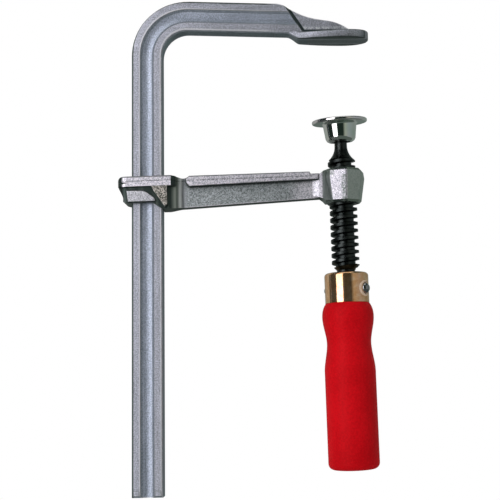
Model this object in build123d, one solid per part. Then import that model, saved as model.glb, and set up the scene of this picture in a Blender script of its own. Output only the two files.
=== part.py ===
from build123d import *
import os
from math import cos, pi, radians, sin, sqrt, tan

# Screw clamp, in millimetres.
# The origin is the middle of the fixed jaw's face. +Z points away from that face, along the rail.
# +X points from the rail to the jaw's tip, and -Y is the side that the photograph shows.

# Rail and upper arm, one bent bar
rail_width = 17.0  # in the clamp's plane
rail_thickness = 9.5
rail_edge_round = 0.8
groove_width = 7.9
groove_depth = 1.3
groove_wall_run = 1.3
groove_sag = 0.3
reach = 100.0  # rail's inner face to the middle of the fixed jaw
rail_drop = 255.0  # jaw face to the rail's lower end
bend_inner_radius = 14.5
upper_arm_slope = 1.96  # degrees down towards the jaw
upper_arm_height = 11.4  # arm's middle line over the jaw's middle
end_swell = 0.25  # the rail's end is beaten thicker, and stops the arm
end_swell_height = 2.4
end_chamfer = 1.2

# Fixed jaw, forged on the end of the bar
pad_length = 42.3
pad_width = 16.2
pad_thickness = 4.2
pad_tip_thickness = 5.2
pad_swell_start = -5.0  # from here the pad thickens towards its tip
pad_tip = 17.3  # jaw's middle to the pad's tip
pad_edge_round = 0.9
pad_neck_step = 0.4  # the pad's root lies this far inside the bar's sides
rib_thickness = 5.6
rib_end = 9.0  # jaw's middle to the rib's toe
rib_crown = 11.8  # rib's height over the jaw's middle
pocket_slope = 40.0  # degrees, draft of the step from arm to rib
step_top_x = -31.4  # the step's edge on the arm's top
step_foot_x = -20.4  # and where it meets the pad
jaw_foot_run = 5.5  # the bar's lower edge starts its flow into the pad this far before the pad
jaw_foot_hollow = 0.3  # how much fuller the flow's upper side is
jaw_bar_overlap = 1.0  # the plain bar runs on this far past the step's foot
pad_shoulder_run = 9.0  # widest place of the pad to its shoulder
pad_shoulder_drop = 1.0  # how much narrower each side is there

# Sliding arm
arm_tilt = 1.3  # degrees, the arm stands this much off square to the rail
arm_reach = 101.0  # rail's inner face to the spindle's axis
arm_drop = 84.6  # jaw face to the arm's middle, at the spindle
arm_half_height = 8.75
arm_foot_depth = 9.0  # arm's middle to its underside, beside the collar
arm_tip_depth = 6.1  # the same beside the boss
web_thickness = 6.6
flange_thickness = 11.0
flange_height = 6.4  # at the collar
flange_tip_height = 4.8  # at the boss
flange_start = 13.1  # rail's inner face to the flange
flange_step = 18.4  # spindle's axis to the step in the flange's top
flange_end = 13.3  # spindle's axis to the flange's end
flange_ramp = 2.2  # length of the rise at the flange's start
flange_step_ramp = 0.6  # length of the step down in its top
flange_lip = 0.5  # the flange stands this much over the web
flange_rim_round = 1.0
neck_drop = 1.2  # the arm's top dips this much at both ends of the flange
flare_width = 15.0  # the web widens to this where it meets the boss
slide_clearance = 0.1

# Collar of the sliding arm, round the rail
collar_panel_wall = 2.3
collar_band_wall = 3.8
collar_lug_wall = 3.6
collar_gusset_wall = 3.7
collar_outer_wall = 7.6
collar_outer_foot = 4.5
collar_inner_wall = 5.3
collar_corner = 5.2
collar_band_depth = 5.6
collar_band_fade = 2.4  # the band runs on this far into the hollow beside the arm
collar_front_depth = 5.9
collar_heel_depth = 9.5
collar_edge_round = 0.6
collar_notch_drop = 3.6  # top of the collar to the notch at the band's outer end
lug_end_gap = 2.5  # the lug starts this far outside the rail
lug_inner_gap = 3.4  # and ends this far inside the rail's inner face
lug_top_gap = 2.2  # band to lug
lug_foot_gap = 0.3  # lug to the collar's underside
gusset_reach = 3.4  # the gusset ends this far past the rail's inner face
gusset_run = 6.1  # and starts this far before it
gusset_overlap = 0.5  # it runs up into the band by this

# Threaded boss of the sliding arm
boss_levels = (  # height over the arm's middle, and half the width across flats
    (-9.5, 8.9),
    (-8.3, 10.0),
    (4.5, 12.0),
    (8.0, 11.6),
    (9.5, 10.2),
)
boss_corner_round = 2.5
boss_turn = 9.0  # degrees

# Spindle, a single-start trapezoidal thread
thread_pitch = 4.0
thread_radius = 7.8
thread_root_radius = 5.6
thread_flank = 15.0  # degrees
thread_clearance = 0.15
thread_overlap = 0.3  # each thread form reaches this far into the solid that carries it
ball_height = 31.5  # arm's middle to the ball's centre
ball_radius = 5.2
neck_radius = 3.55
neck_length = 8.0  # ball's centre to the start of the flare
flare_radius = 7.1
flare_length = 7.9
flare_root = 1.2  # the flare runs on this far inside the threaded core
spindle_length = 80.3  # ball's centre to the ferrule's top
foot_radius = 5.1  # the thread's last turn tapers to this over the ferrule
foot_length = 1.5
tang_radius = 4.6
tang_length = 50.0

# Pressure plate, crimped over the ball
plate_radius = 15.65
plate_rim = 2.1
plate_rim_round = 0.9
plate_face_height = 7.15  # ball's centre to the clamping face
plate_seat_clearance = 0.15
hub_top_radius = 9.5
hub_bottom_radius = 8.5
hub_depth = 5.5  # ball's centre to the hub's lower end
hub_fillet = 1.3
hub_round = 1.9
hub_mouth_radius = 5.5
plate_turn_xz = 2.0  # degrees, how the loose plate happens to sit
plate_nod = 6.5  # degrees, its -Y side is the lower one

# Snap ring in the hub
ring_wire_radius = 0.6
ring_radius = 5.5
ring_depth = 3.3  # ball's centre to the ring
ring_gap_angle = 36.0
ring_play = 1.2  # room for the plate's tilt
ring_side_play = 0.9

# Ferrule, wooden handle and cross pin
ferrule_radius = 12.3
ferrule_height = 16.8
ferrule_wall = 1.3
ferrule_round = 1.9
fit_gap = 0.05
handle_top_radius = 12.1
handle_shoulder_radius = 14.4
handle_shoulder = 7.5  # from the ferrule's lower edge
handle_waist_radius = 12.35
handle_waist = 21.5
handle_grip_radius = 14.2
handle_grip = 38.0
handle_length = 91.6
handle_end_round = 3.4
pin_radius = 2.0
pin_head_radius = 3.0
pin_head_height = 2.6
pin_depth = 9.2  # ferrule's top to the pin
pin_bearing = 58.0  # degrees from -Y towards +X
pin_dimple_radius = 4.2
pin_dimple_depth = 0.8

# Values that follow from the sizes above
half_thickness = rail_thickness / 2
rail_inner_x = -reach
rail_middle_x = rail_inner_x - rail_width / 2
arm_slope = tan(radians(upper_arm_slope))
spindle_x = rail_inner_x + arm_reach
arm_frame = Location((spindle_x, 0, -arm_drop), (0, -arm_tilt, 0))
spindle_frame = arm_frame * Location((0, 0, ball_height))
plate_frame = spindle_frame * Location((0, 0, 0), (plate_nod, -plate_turn_xz, 0))
rail_inner_u = -arm_reach
rail_outer_u = rail_inner_u - rail_width


def side_face(points):
    """Flat face in the XZ plane from corner points (x, z)."""
    corners = [Vector(x, 0, z) for x, z in points]
    return make_face(Polyline(*corners, close=True))


def thicken(face, thickness):
    """Solid of the given thickness, half on each side of the XZ plane."""
    return extrude(Pos(0, -thickness / 2, 0) * face, amount=thickness, dir=(0, 1, 0))


def turned(edges):
    """Solid of revolution about Z from edges in the XZ plane."""
    return revolve(make_face(edges), axis=Axis.Z)


def arm_under(x):
    """Height of the upper arm's underside."""
    return upper_arm_height - arm_slope * x - rail_width / 2 / cos(radians(upper_arm_slope))


def arm_over(x):
    """Height of the upper arm's top."""
    return arm_under(x) + rail_width / cos(radians(upper_arm_slope))


def groove_section():
    """Cross-section of the rolled groove in the bar's -Y face."""
    half = groove_width / 2
    top = -half_thickness
    bed = top + groove_depth
    edges = Polyline(
        (half - groove_wall_run, bed),
        (half, top),
        (half, top - 1),
        (-half, top - 1),
        (-half, top),
        (groove_wall_run - half, bed),
    )
    bottom = ThreePointArc((groove_wall_run - half, bed), (0, bed + groove_sag), (half - groove_wall_run, bed))
    return make_face(edges + bottom)


def bar():
    """Grooved bar from the rail's lower end round the bend to the jaw."""
    blank = RectangleRounded(rail_width, rail_thickness, rail_edge_round)
    section = blank - groove_section() - mirror(groove_section(), about=Plane.XZ)
    bend_radius = bend_inner_radius + rail_width / 2
    corner_z = upper_arm_height - arm_slope * rail_middle_x
    stop_x = step_foot_x + jaw_bar_overlap
    path = FilletPolyline(
        (rail_middle_x, 0, -rail_drop),
        (rail_middle_x, 0, corner_z),
        (stop_x, 0, upper_arm_height - arm_slope * stop_x),
        radius=bend_radius,
    )
    return sweep(Pos(rail_middle_x, 0, -rail_drop) * section, path=path)


def jaw_foot_x(part):
    """Places along the slope where the bar flows down into the pad."""
    return pad_tip - pad_length - jaw_foot_run + part


def jaw_top_line():
    """Top of the jaw, from the upper arm down to the rib's toe."""
    points = [
        (jaw_foot_x(-8.0), arm_over(jaw_foot_x(-8.0)) + 0.02),
        (jaw_foot_x(-2.0), arm_over(jaw_foot_x(-2.0)) - 0.6),
        (jaw_foot_x(9.0), rib_crown + 3.4),
        (jaw_foot_x(20.5), rib_crown + 0.2),
        (-4.2, rib_crown - 0.7),
        (rib_end - 2.5, pad_thickness + 1.7),
        (rib_end, pad_thickness - 0.6),
    ]
    return Spline(*[Vector(x, 0, z) for x, z in points])


def over_jaw_line():
    """Everything over the jaw's top line."""
    line = jaw_top_line()
    roof = arm_over(jaw_foot_x(-8.0)) + 10
    rest = Polyline(line @ 1, Vector(rib_end + 20, 0, pad_thickness - 0.6), Vector(rib_end + 20, 0, roof),
                    Vector((line @ 0).X, 0, roof), line @ 0)
    return thicken(make_face(line + rest), rail_thickness + 4)


def rib():
    """Thin rib that stiffens the jaw."""
    line = jaw_top_line()
    floor = pad_thickness / 2
    rest = Polyline(line @ 1, Vector(rib_end, 0, floor), Vector(jaw_foot_x(10.0), 0, floor),
                    Vector(jaw_foot_x(2.0), 0, arm_under(jaw_foot_x(2.0)) + 2.0),
                    Vector((line @ 0).X, 0, arm_under((line @ 0).X) + 2.0), line @ 0)
    return thicken(make_face(line + rest), rib_thickness)


def foot_line(lift, start_z, end_z):
    """S-shaped line where the bar's lower edge flows into the pad."""
    return Spline(
        Vector(jaw_foot_x(0.0), 0, start_z),
        Vector(jaw_foot_x(3.6), 0, start_z - 0.25 * (start_z - end_z) + lift),
        Vector(jaw_foot_x(7.0), 0, end_z + 0.15 * (start_z - end_z) + lift),
        Vector(jaw_foot_x(10.0), 0, end_z),
        tangents=[(1, 0, -arm_slope), (1, 0, 0)],
    )


def foot_top():
    """Upper side of the flow from the bar's lower edge into the pad."""
    start_z = arm_under(jaw_foot_x(0.0)) + (rail_width - groove_width) / 2
    return foot_line(jaw_foot_hollow, start_z, pad_thickness)


def foot_bottom():
    """Lower side of the same flow."""
    return foot_line(0.0, arm_under(jaw_foot_x(0.0)), 0.0)


def pad_plan():
    """Outline of the pad from below, running into the bar's width."""
    root = jaw_foot_x(-6.0)
    start = jaw_foot_x(-1.0)
    neck = half_thickness - pad_neck_step
    wide_x = pad_tip - pad_length / 2
    near = Spline(
        (start, -neck),
        (wide_x - pad_shoulder_run, pad_shoulder_drop - pad_width / 2),
        (wide_x, -pad_width / 2),
        (pad_tip - 4.5, -0.78 * pad_width / 2),
        (pad_tip - 1.3, -0.48 * pad_width / 2),
        (pad_tip, 0),
        tangents=[(1, 0), (0, 1)],
    )
    base = Polyline((start, neck), (root, neck), (root, -neck), (start, -neck))
    return make_face(near + mirror(near, about=Plane.XZ) + base)


def jaw_pad():
    """Flattened pad with the flow up into the bar."""
    top = foot_top()
    bottom = foot_bottom()
    root = jaw_foot_x(-6.0)
    tip = pad_tip + 1
    swell = [Vector(tip, 0, pad_tip_thickness), Vector(pad_swell_start, 0, pad_thickness)]
    around = Polyline(bottom @ 1, Vector(tip, 0, 0), *swell, top @ 1)
    back = Polyline(top @ 0, Vector(root, 0, (top @ 0).Z), Vector(root, 0, (bottom @ 0).Z), bottom @ 0)
    side = thicken(make_face(bottom + around + top + back), pad_width + 4)
    pad = side & (Pos(0, 0, -5) * extrude(pad_plan(), amount=30))
    start = jaw_foot_x(0.5)
    rims = [edge for edge in pad.edges() if abs(edge.center().Y) > 0.1 and edge.bounding_box().max.X > start]
    return fillet(rims, pad_edge_round)


def step_pocket():
    """Room cut from the bar's -Y side beyond the slanted step."""
    outside = 1.0
    widening = outside * tan(radians(pocket_slope))
    depth = half_thickness - rib_thickness / 2
    run = step_foot_x - step_top_x
    rise = arm_over(step_top_x) - pad_thickness
    long = sqrt(run**2 + rise**2)
    foot = Vector(step_foot_x - widening * rise / long, 0, pad_thickness - widening * run / long)
    along_step = Vector(-run / long, 0, rise / long)
    far_x = rib_end + 20
    edge = Polyline(foot + along_step * (long + 4), foot, foot - along_step * 4)
    rest = Polyline(edge @ 1, Vector(far_x, 0, (edge @ 1).Z), Vector(far_x, 0, (edge @ 0).Z), edge @ 0)
    reach_in = Pos(0, -half_thickness - outside, 0) * make_face(edge + rest)
    return extrude(reach_in, amount=depth + outside, dir=(0, 1, 0), taper=pocket_slope)


def beaten_end():
    """Thickened edges of the rail's lower end."""
    inner = groove_width / 2 + 0.4
    outer = rail_width / 2 - rail_edge_round - 0.2
    block = Box(outer - inner, rail_thickness + 2 * end_swell, end_swell_height)
    block = fillet(block.edges().filter_by(Axis.Z), end_swell)
    middle_z = -rail_drop + end_chamfer + end_swell_height / 2
    return [Pos(rail_middle_x + side * (inner + outer) / 2, 0, middle_z) * block for side in (-1, 1)]


def end_bevel():
    """Wedge cut from the -Y side of the rail's lower end."""
    corner = make_face(Polyline(
        (0, -half_thickness - 1, -1 - rail_drop),
        (0, -half_thickness - 1, end_chamfer + 1 - rail_drop),
        (0, -half_thickness + end_chamfer + 1, -1 - rail_drop),
        close=True,
    ))
    return extrude(Pos(rail_middle_x - rail_width, 0, 0) * corner, amount=2 * rail_width, dir=(1, 0, 0))


def rail():
    """Bar, jaw and beaten end in one piece."""
    body = bar() - over_jaw_line() - end_bevel() - mirror(end_bevel(), about=Plane.XZ)
    body = body - step_pocket() - mirror(step_pocket(), about=Plane.XZ)
    body = body + jaw_pad() + rib()
    for block in beaten_end():
        body = body + block
    return body


def collar_end_line():
    """Rounded outer end of the collar, from its top to its foot."""
    outer = rail_outer_u - collar_outer_wall
    foot = rail_outer_u - collar_outer_foot
    return Spline(
        Vector(outer + 3.7, 0, arm_half_height),
        Vector(outer, 0, arm_half_height - 4.6),
        Vector(outer + 1.9, 0, 0),
        Vector(foot, 0, 1.9 - collar_front_depth),
        Vector(foot + 2.2, 0, -collar_front_depth),
        tangents=[(-1, 0, 0), (1, 0, -0.2)],
    )


def collar_side():
    """Side outline of the collar's walls, with the deeper heel beside the arm."""
    end = collar_end_line()
    heel_u = rail_inner_u - 0.2
    root_u = rail_inner_u + flange_start
    rest = Polyline(
        end @ 1,
        Vector(rail_inner_u - 5.4, 0, -collar_front_depth),
        Vector(heel_u, 0, -collar_heel_depth),
        Vector(rail_inner_u + collar_inner_wall, 0, -collar_heel_depth),
        Vector(root_u - 2.6, 0, -arm_foot_depth),
        Vector(root_u + 2.0, 0, -arm_foot_depth),
        Vector(root_u + 2.0, 0, arm_half_height - neck_drop),
        Vector(root_u - 2.0, 0, arm_half_height - neck_drop),
        Vector(root_u - 5.8, 0, arm_half_height),
        end @ 0,
    )
    return make_face(end + rest)


def collar_plan(wall, inner_u):
    """Plan of the collar, rounded at its outer end and curved in to the arm's web."""
    wide = half_thickness + wall
    slim = web_thickness / 2
    outer = rail_outer_u - collar_outer_wall
    root_u = rail_inner_u + flange_start
    middle_u = (2 * inner_u + root_u) / 3
    middle_v = slim + 0.38 * (wide - slim)
    corner = collar_corner * (1 - sin(pi / 4))
    start = (outer + collar_corner, -wide)
    end = ThreePointArc(start, (outer + corner, corner - wide), (outer, collar_corner - wide))
    hollow = ThreePointArc((inner_u, -wide), (middle_u, -middle_v), (root_u, -slim))
    half = end + hollow + Line(start, (inner_u, -wide))
    outer_end = Line((outer, collar_corner - wide), (outer, wide - collar_corner))
    inner_end = Line((root_u, -slim), (root_u, slim))
    return make_face(half + mirror(half, about=Plane.XZ) + outer_end + inner_end)


def collar_body(wall, inner_u):
    """Collar walls of the given thickness beside the rail."""
    walls = thicken(collar_side(), rail_thickness + 2 * wall + 2)
    return walls & (Pos(0, 0, -20) * extrude(collar_plan(wall, inner_u), amount=40))


def collar_band():
    """Proud double band across the top of the collar, notched at its outer end."""
    low = arm_half_height - collar_band_depth
    outer = rail_outer_u - collar_outer_wall - 1
    inner = rail_inner_u + collar_inner_wall
    end = inner + collar_band_fade
    notch_u = rail_outer_u
    notch_w = arm_half_height - collar_notch_drop
    reach_v = rail_thickness + 2 * collar_band_wall
    strip = [(outer, low), (end, low), (end, arm_half_height), (outer, arm_half_height)]
    band = thicken(side_face(strip), reach_v) & collar_body(collar_band_wall, inner)
    notch = side_face([(outer, notch_w + 0.9), (notch_u, notch_w), (outer, notch_w - 1.0)])
    cut = thicken(notch, reach_v + 2) - thicken(notch, rail_thickness + 2 * collar_panel_wall)
    return band - cut


def proud_shape(outline, wall):
    """Raised shape on both sides of the collar, with rounded rims."""
    half = half_thickness + wall
    solid = thicken(outline, 2 * half)
    rims = solid.edges().filter_by(lambda edge: abs(abs(edge.center().Y) - half) < 0.01)
    return fillet(rims, collar_edge_round)


def collar_lug():
    """Raised lug under the band, with one rounded shoulder beside the gusset."""
    left = rail_outer_u - lug_end_gap
    right = rail_inner_u - lug_inner_gap
    top = arm_half_height - collar_band_depth - lug_top_gap
    low = lug_foot_gap - collar_front_depth
    shoulder = Spline(
        Vector(right - 8.0, 0, top - 0.1),
        Vector(right - 2.8, 0, top - 2.6),
        Vector(right, 0, low + 0.8),
        tangents=[(1, 0, 0), (0.2, 0, -1)],
    )
    foot = [Vector(right, 0, low), Vector(left + 0.7, 0, low)]
    rest = Polyline(shoulder @ 1, *foot, Vector(left, 0, top), shoulder @ 0)
    return proud_shape(make_face(shoulder + rest), collar_lug_wall)


def collar_gusset():
    """Raised three-cornered gusset between the band and the heel."""
    top = arm_half_height - collar_band_depth + gusset_overlap
    right = rail_inner_u + gusset_reach
    outline = side_face([
        (rail_inner_u - gusset_run, top),
        (right, top),
        (right, 2.0 - collar_heel_depth),
        (rail_inner_u + 1.6, 0.5 - collar_heel_depth),
        (rail_inner_u - 2.4, -2.8),
        (rail_inner_u - 4.6, 0.3),
    ])
    return proud_shape(outline, collar_gusset_wall)


def arm_beam():
    """T-section beam from the collar to the boss."""
    start = rail_inner_u + flange_start
    neck = arm_half_height - neck_drop
    web = side_face([
        (start - 1.0, neck),
        (start + flange_ramp, arm_half_height - flange_lip),
        (-flange_step, arm_half_height - flange_lip),
        (-flange_step + flange_step_ramp, neck),
        (-boss_levels[0][1] / 2, neck),
        (-boss_levels[0][1] / 2, 0.3 - arm_tip_depth),
        (-flange_end, -arm_tip_depth),
        (start - 1.0, -arm_foot_depth),
    ])
    flange = side_face([
        (start, neck - 0.4),
        (start + flange_ramp, arm_half_height),
        (-flange_step, arm_half_height),
        (-flange_step + flange_step_ramp, neck),
        (-flange_end, neck),
        (-flange_end, arm_half_height - flange_tip_height),
        (start + 2.0, arm_half_height - flange_height),
        (start, arm_half_height - flange_height + 2.6),
    ])
    shelf = thicken(flange, flange_thickness)
    rims = [edge for edge in shelf.edges() if abs(abs(edge.center().Y) - flange_thickness / 2) < 0.01]
    return thicken(web, web_thickness) + fillet(rims, flange_rim_round)


def boss_flare():
    """Web and underside widening into the boss."""
    start = -flange_step - 1.0
    end = -boss_levels[1][1]
    inside = -boss_levels[0][1] / 2
    slim = web_thickness / 2 - 0.05
    wide = flare_width / 2
    neck = arm_half_height - neck_drop
    under = ThreePointArc(
        Vector(start, 0, 0.2 - arm_tip_depth),
        Vector(end - 2.0, 0, -arm_tip_depth - 0.4),
        Vector(end, 0, -arm_tip_depth - 2.2),
    )
    rest = Polyline(under @ 1, Vector(inside, 0, -arm_tip_depth - 2.2), Vector(inside, 0, neck - 0.05),
                    Vector(start, 0, neck - 0.05), under @ 0)
    side = thicken(make_face(under + rest), 2 * wide)
    near = ThreePointArc((start, -slim), ((start + 2 * end) / 3, -slim - 0.36 * (wide - slim)), (end, -wide))
    back = Polyline((end, -wide), (inside, -wide), (inside, wide), (end, wide))
    plan = make_face(near + mirror(near, about=Plane.XZ) + back + Line((start, -slim), (start, slim)))
    return side & (Pos(0, 0, -20) * extrude(plan, amount=40))


def octagon(height, radius):
    """Eight-sided outline with rounded corners, at a height on the spindle's axis."""
    shape = RegularPolygon(radius / cos(pi / 8), 8, rotation=boss_turn)
    return Pos(0, 0, height) * fillet(shape.vertices(), boss_corner_round)


def boss():
    """Eight-sided forged boss, widest near its top."""
    rings = [octagon(height, radius) for height, radius in boss_levels]
    body = loft([rings[0], rings[1]], ruled=True)
    for low, high in zip(rings[1:], rings[2:]):
        body = body + loft([low, high], ruled=True)
    return body


def spindle_half_width(radius):
    """Half of the spindle thread's axial thickness at a radius."""
    pitch_radius = thread_radius - thread_pitch / 4
    return thread_pitch / 4 + (pitch_radius - radius) * tan(radians(thread_flank))


def nut_half_width(radius):
    """Half of the nut thread's axial thickness at a radius."""
    return thread_pitch / 2 - spindle_half_width(radius) - thread_clearance


def thread_strip(inner, outer, half_width, first_turn, turns):
    """Thread form wound about the spindle's axis, counted in turns from the ferrule up."""
    start_z = -spindle_length + (first_turn - 1) * thread_pitch
    route = Pos(0, 0, start_z) * Helix(pitch=thread_pitch, height=turns * thread_pitch, radius=outer)
    low = half_width(inner)
    high = half_width(outer)
    corners = [(inner, -low), (outer, -high), (outer, high), (inner, low)]
    strip = sweep(side_face([(x, start_z + z) for x, z in corners]), path=route, is_frenet=True)
    # A long wound strip sometimes comes out inside out
    return strip if strip.volume > 0 else Solid(strip.solid().wrapped.Reversed())


def nut_thread():
    """Thread inside the boss, half a pitch from the spindle's."""
    low = boss_levels[0][0]
    high = boss_levels[-1][0]
    first_turn = int((spindle_length - ball_height + low) / thread_pitch) + 0.5
    turns = int((high - low) / thread_pitch) + 3
    inner = thread_root_radius + thread_clearance
    outer = thread_radius + thread_clearance + thread_overlap
    ridge = Pos(0, 0, ball_height) * thread_strip(inner, outer, nut_half_width, first_turn, turns)
    return ridge & Cylinder(outer + 1, high - low - 1)


def sliding_arm():
    """Collar, beam and threaded boss in one forging."""
    collar = collar_body(collar_panel_wall, rail_inner_u + 3.5) + collar_band() + collar_lug() + collar_gusset()
    body = collar + arm_beam() + boss_flare() + boss()
    body = body - Cylinder(thread_radius + thread_clearance, 40) + nut_thread()
    slot = Box(rail_width + 2 * slide_clearance, rail_thickness + 2 * slide_clearance, 80)
    return arm_frame * body - Pos(rail_middle_x, 0, -arm_drop) * slot


def threaded_shaft():
    """Thread from the flare down to the shoulder on the ferrule."""
    turns = int((spindle_length - neck_length) / thread_pitch) + 1
    ridge = thread_strip(thread_root_radius - thread_overlap, thread_radius, spindle_half_width, 0, turns)
    core = Pos(0, 0, -spindle_length / 2) * Cylinder(thread_root_radius, 2 * spindle_length)
    clear = thread_radius + 1
    top = -neck_length - flare_length
    foot = -spindle_length + fit_gap
    envelope = turned(Polyline(
        (0, 0, top),
        (flare_radius, 0, top),
        (clear, 0, top + flare_radius - clear),
        (clear, 0, foot + foot_length + clear - foot_radius),
        (foot_radius, 0, foot + foot_length),
        (foot_radius, 0, foot),
        (0, 0, foot),
        close=True,
    ))
    return (core + ridge) & envelope


def flare():
    """Concave flare from the neck out to the thread."""
    top = -neck_length
    low = top - flare_length
    curve = ThreePointArc(
        (neck_radius, 0, top),
        (neck_radius + 0.28 * (flare_radius - neck_radius), 0, top - 0.56 * flare_length),
        (flare_radius, 0, low),
    )
    root = low - flare_root
    inside = Polyline((flare_radius, 0, low), (thread_root_radius - 0.2, 0, root), (0, 0, root), (0, 0, top),
                      (neck_radius, 0, top))
    return turned(curve + inside)


def ball_and_neck():
    """Ball end with the slim neck under it."""
    throat_z = -sqrt(ball_radius**2 - neck_radius**2)
    ball = ThreePointArc((0, 0, ball_radius), (ball_radius, 0, 0), (neck_radius, 0, throat_z))
    outline = Polyline(
        (neck_radius, 0, throat_z),
        (neck_radius, 0, -neck_length),
        (0, 0, -neck_length),
        (0, 0, ball_radius),
    )
    return turned(ball + outline)


def spindle():
    """Ball, neck, thread and tang in one piece."""
    tang = Pos(0, 0, -spindle_length - tang_length / 2) * Cylinder(tang_radius, tang_length + 2 * fit_gap)
    body = threaded_shaft() + flare() + ball_and_neck() + tang
    return spindle_frame * (body - cross_hole(pin_radius + fit_gap))


def pressure_plate():
    """Round plate with the hub that holds the ball and the snap ring."""
    seat_radius = ball_radius + plate_seat_clearance
    top = plate_face_height
    rim_low = top - plate_rim
    ring_top = -ring_depth + ring_wire_radius + ring_play
    ring_low = -ring_depth - ring_wire_radius - ring_play
    ring_out = ring_radius + ring_wire_radius + ring_side_play
    outside = Polyline(
        (0, 0, seat_radius),
        (0, 0, top),
        (plate_radius - plate_rim_round, 0, top),
    )
    upper_rim = ThreePointArc(
        (plate_radius - plate_rim_round, 0, top),
        (plate_radius - plate_rim_round * (1 - sin(pi / 4)), 0, top - plate_rim_round * (1 - cos(pi / 4))),
        (plate_radius, 0, top - plate_rim_round),
    )
    lower_rim = ThreePointArc(
        (plate_radius, 0, rim_low + plate_rim_round),
        (plate_radius - plate_rim_round * (1 - cos(pi / 4)), 0, rim_low + plate_rim_round * (1 - sin(pi / 4))),
        (plate_radius - plate_rim_round, 0, rim_low),
    )
    edge = Line((plate_radius, 0, top - plate_rim_round), (plate_radius, 0, rim_low + plate_rim_round))
    under = Line((plate_radius - plate_rim_round, 0, rim_low), (hub_top_radius + hub_fillet, 0, rim_low))
    root = ThreePointArc(
        (hub_top_radius + hub_fillet, 0, rim_low),
        (hub_top_radius + hub_fillet * (1 - sin(pi / 4)), 0, rim_low - hub_fillet * (1 - cos(pi / 4))),
        (hub_top_radius, 0, rim_low - hub_fillet),
    )
    inside = Polyline(
        (hub_top_radius, 0, rim_low - hub_fillet),
        (hub_bottom_radius, 0, -hub_depth + hub_round),
        (hub_bottom_radius - 0.35 * hub_round, 0, -hub_depth + 0.4 * hub_round),
        (hub_bottom_radius - hub_round, 0, -hub_depth),
        (hub_mouth_radius, 0, -hub_depth),
        (hub_mouth_radius, 0, ring_low),
        (ring_out, 0, ring_low),
        (ring_out, 0, ring_top),
        (seat_radius, 0, ring_top),
        (seat_radius, 0, 0),
    )
    seat = ThreePointArc(
        (seat_radius, 0, 0),
        (seat_radius * sin(pi / 4), 0, seat_radius * cos(pi / 4)),
        (0, 0, seat_radius),
    )
    return plate_frame * turned(outside + upper_rim + edge + lower_rim + under + root + inside + seat)


def snap_ring():
    """Open wire ring under the ball."""
    wire_end = Pos(ring_radius, 0, 0) * (Rot(90, 0, 0) * Circle(ring_wire_radius))
    turn = revolve(wire_end, axis=Axis.Z, revolution_arc=360 - ring_gap_angle)
    return spindle_frame * (Pos(0, 0, -ring_depth) * turn)


def cross_hole(radius):
    """Round hole across the spindle, in line with the pin."""
    across = Rot(0, 0, pin_bearing) * (Rot(90, 0, 0) * Cylinder(radius, 4 * ferrule_radius))
    return Pos(0, 0, -spindle_length - pin_depth) * across


def pin_seat(side):
    """Dimple round one end of the pin, in the ferrule."""
    cone = Cone(pin_dimple_radius, pin_head_radius, pin_dimple_depth + 0.3)
    outward = Pos(0, -side * (ferrule_radius - pin_dimple_depth / 2 + 0.15), 0) * (Rot(side * -90, 0, 0) * cone)
    return Pos(0, 0, -spindle_length - pin_depth) * (Rot(0, 0, pin_bearing) * outward)


def ferrule():
    """Steel cup between the spindle's shoulder and the handle."""
    top = -spindle_length
    low = top - ferrule_height
    bore = ferrule_radius - ferrule_wall
    corner = ferrule_radius - ferrule_round
    walls = Polyline(
        (ferrule_radius, 0, top - ferrule_round),
        (ferrule_radius, 0, low),
        (bore, 0, low),
        (bore, 0, top - ferrule_wall),
        (tang_radius + fit_gap, 0, top - ferrule_wall),
        (tang_radius + fit_gap, 0, top),
        (corner, 0, top),
    )
    shoulder = ThreePointArc(
        (corner, 0, top),
        (corner + ferrule_round * sin(pi / 4), 0, top - ferrule_round * (1 - cos(pi / 4))),
        (ferrule_radius, 0, top - ferrule_round),
    )
    body = turned(walls + shoulder)
    return spindle_frame * (body - cross_hole(pin_radius + fit_gap) - pin_seat(1) - pin_seat(-1))


def handle():
    """Wooden grip with a waist, bored for the tang and turned down inside the ferrule."""
    top = -spindle_length
    low = top - ferrule_height - fit_gap
    tenon = ferrule_radius - ferrule_wall - fit_gap
    end = low - handle_length
    grip = Spline(
        (handle_top_radius, 0, low),
        (handle_shoulder_radius, 0, low - handle_shoulder),
        (handle_waist_radius, 0, low - handle_waist),
        (handle_grip_radius, 0, low - handle_grip),
        tangents=[(1, 0, -1.2), (0, 0, -1)],
        tangent_scalars=[1, 1],
    )
    side = Line((handle_grip_radius, 0, low - handle_grip), (handle_grip_radius, 0, end + handle_end_round))
    cut_back = handle_end_round * (1 - cos(pi / 4))
    corner = ThreePointArc(
        (handle_grip_radius, 0, end + handle_end_round),
        (handle_grip_radius - cut_back, 0, end + cut_back),
        (handle_grip_radius - handle_end_round, 0, end),
    )
    core = Polyline(
        (handle_grip_radius - handle_end_round, 0, end),
        (0, 0, end),
        (0, 0, top - tang_length - 1),
        (tang_radius + fit_gap, 0, top - tang_length - 1),
        (tang_radius + fit_gap, 0, top - ferrule_wall - fit_gap),
        (tenon, 0, top - ferrule_wall - fit_gap),
        (tenon, 0, low),
        (handle_top_radius, 0, low),
    )
    body = turned(grip + side + corner + core)
    return spindle_frame * (body - cross_hole(pin_radius + fit_gap))


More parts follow.
